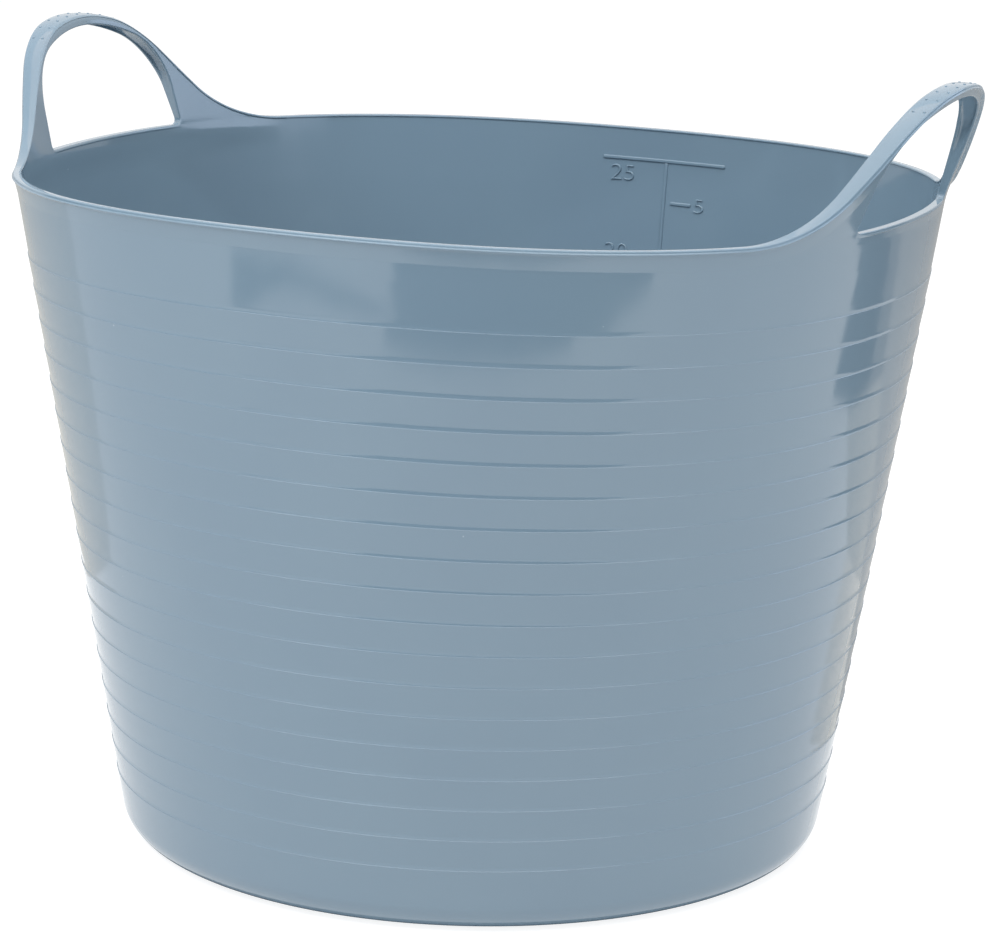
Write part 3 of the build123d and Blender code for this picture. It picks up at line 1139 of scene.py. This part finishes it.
for name, (tone, corners) in FLAGS.items():
    bpy.ops.object.select_all(action="DESELECT")
    bpy.ops.mesh.primitive_circle_add(vertices=len(corners), fill_type="NGON")
    flag = bpy.context.object
    flag.name = name
    for vertex, (right, front) in zip(flag.data.vertices, corners):
        x = right * cos(VIEW_HEADING) + front * sin(VIEW_HEADING)
        y = right * sin(VIEW_HEADING) - front * cos(VIEW_HEADING)
        vertex.co = Vector((x, y, FLAG_HEIGHT)) * MM
    flag.data.materials.append(cloth(tone))
    leave_to_gloss(flag)
# Painted shadow under the tub's foot, seen only in the gloss
for name, (tone, radius, height) in PAINTED_FOOT_SHADOWS.items():
    bpy.ops.object.select_all(action="DESELECT")
    bpy.ops.mesh.primitive_circle_add(
        vertices=TURN_STEPS, radius=radius * MM, fill_type="NGON", location=(0, 0, height * MM)
    )
    flag = bpy.context.object
    flag.name = name
    flag.data.materials.append(cloth(tone))
    leave_to_gloss(flag)
for name, (tone, tall, first, last) in DRAPES.items():
    drape = hung(name, DRAPE_RADIUS, 0, tall, first, last)
    drape.data.materials.append(cloth(tone))
    leave_to_gloss(drape)

# Lights
# Broad, soft studio panels: a key high in front on the left, a fill high on the right and a dim one
# overhead. The gloss doesn't show them: glowing ceiling, front and side cards, that nothing but the
# gloss shows, take their place there as painted highlights.
AIM = (0, 0, 0.15)
PANELS = (
    ("key_panel", (-0.9, -1.2, 1.8), 1.3, 28.0),
    ("fill_panel", (1.0, -0.65, 2.1), 1.4, 29.0),
    ("top_panel", (-0.05, 0.1, 2.2), 2.0, 8.0),
)
CEILING_SIZE = 3.2
CEILING_HEIGHT = 2.4
CEILING_STRENGTH = 1.8
FRONT_RADIUS = 0.95
FRONT_LOW = 1.4
FRONT_HIGH = 2.38
FRONT_FIRST = 180
FRONT_LAST = 385
FRONT_STRENGTH = 2.7
SIDE_RADIUS = 2.6
SIDE_LOW = 1.21
SIDE_HIGH = 2.35
SIDE_FALL = 0.56
SIDE_FIRST = 312
SIDE_LAST = 400
SIDE_STRENGTH = 2.4
for name, place, size, power in PANELS:
    lamp = bpy.data.lights.new(name, "AREA")
    lamp.size = size
    lamp.energy = power
    holder = bpy.data.objects.new(name, lamp)
    bpy.context.scene.collection.objects.link(holder)
    holder.location = place
    sight = Vector(AIM) - Vector(place)
    holder.rotation_euler = sight.to_track_quat("-Z", "Y").to_euler()
    holder.visible_glossy = False
bpy.ops.object.select_all(action="DESELECT")
bpy.ops.mesh.primitive_plane_add(size=CEILING_SIZE, location=(0, 0, CEILING_HEIGHT))
ceiling = bpy.context.object
ceiling.name = "ceiling_card"
side_card = hung("side_card", SIDE_RADIUS, SIDE_LOW, SIDE_HIGH, SIDE_FIRST, SIDE_LAST, SIDE_FALL)
front_card = hung("front_card", FRONT_RADIUS, FRONT_LOW, FRONT_HIGH, FRONT_FIRST, FRONT_LAST)
painted_highlight_cards = (
    (front_card, "#FFFFFF", FRONT_STRENGTH),
    (ceiling, "#FFF1E6", CEILING_STRENGTH),
    (side_card, "#DCE8FF", SIDE_STRENGTH),
)
# Painted highlights: each card glows, though it is no lamp, and only the gloss shows it
for card, tone, strength in painted_highlight_cards:
    bright = bpy.data.materials.new("painted_highlight_glow")
    bright.use_nodes = True
    bright.node_tree.nodes.clear()
    gleam = add_node(
        bright.node_tree, "ShaderNodeEmission", {"Color": linear(tone), "Strength": strength}
    )
    add_node(bright.node_tree, "ShaderNodeOutputMaterial", None, {"Surface": gleam.outputs[0]})
    card.data.materials.append(bright)
    leave_to_gloss(card)

# Camera
# Fitted to the rim, the wall's edges and the base in a frame 1000 pixels wide and 938 high. It stands on
# the view's heading, looks down by its pitch and a little aside, and is rolled a little.
FOCAL_PIXELS = 3549.5
FRAME_WIDTH = 1000
SENSOR_WIDTH = 36.0
CAMERA_REACH = 1507.9
CAMERA_HEIGHT = 491.7
PITCH = 0.21731
ROLL = 0.02393
ASIDE = 0.00618
lens = bpy.data.cameras.new("camera")
lens.sensor_width = SENSOR_WIDTH
lens.sensor_fit = "HORIZONTAL"
lens.lens = FOCAL_PIXELS / FRAME_WIDTH * SENSOR_WIDTH
lens.clip_end = 20
camera = bpy.data.objects.new("camera", lens)
bpy.context.scene.collection.objects.link(camera)
stand = Vector((CAMERA_REACH * sin(VIEW_HEADING), -CAMERA_REACH * cos(VIEW_HEADING), CAMERA_HEIGHT))
camera.matrix_world = (
    Matrix.Translation(stand * MM)
    @ Matrix.Rotation(VIEW_HEADING - ASIDE, 4, "Z")
    @ Matrix.Rotation(pi / 2 - PITCH, 4, "X")
    @ Matrix.Rotation(ROLL, 4, "Z")
)
bpy.context.scene.camera = camera
bpy.context.scene.view_settings.view_transform = "Standard"
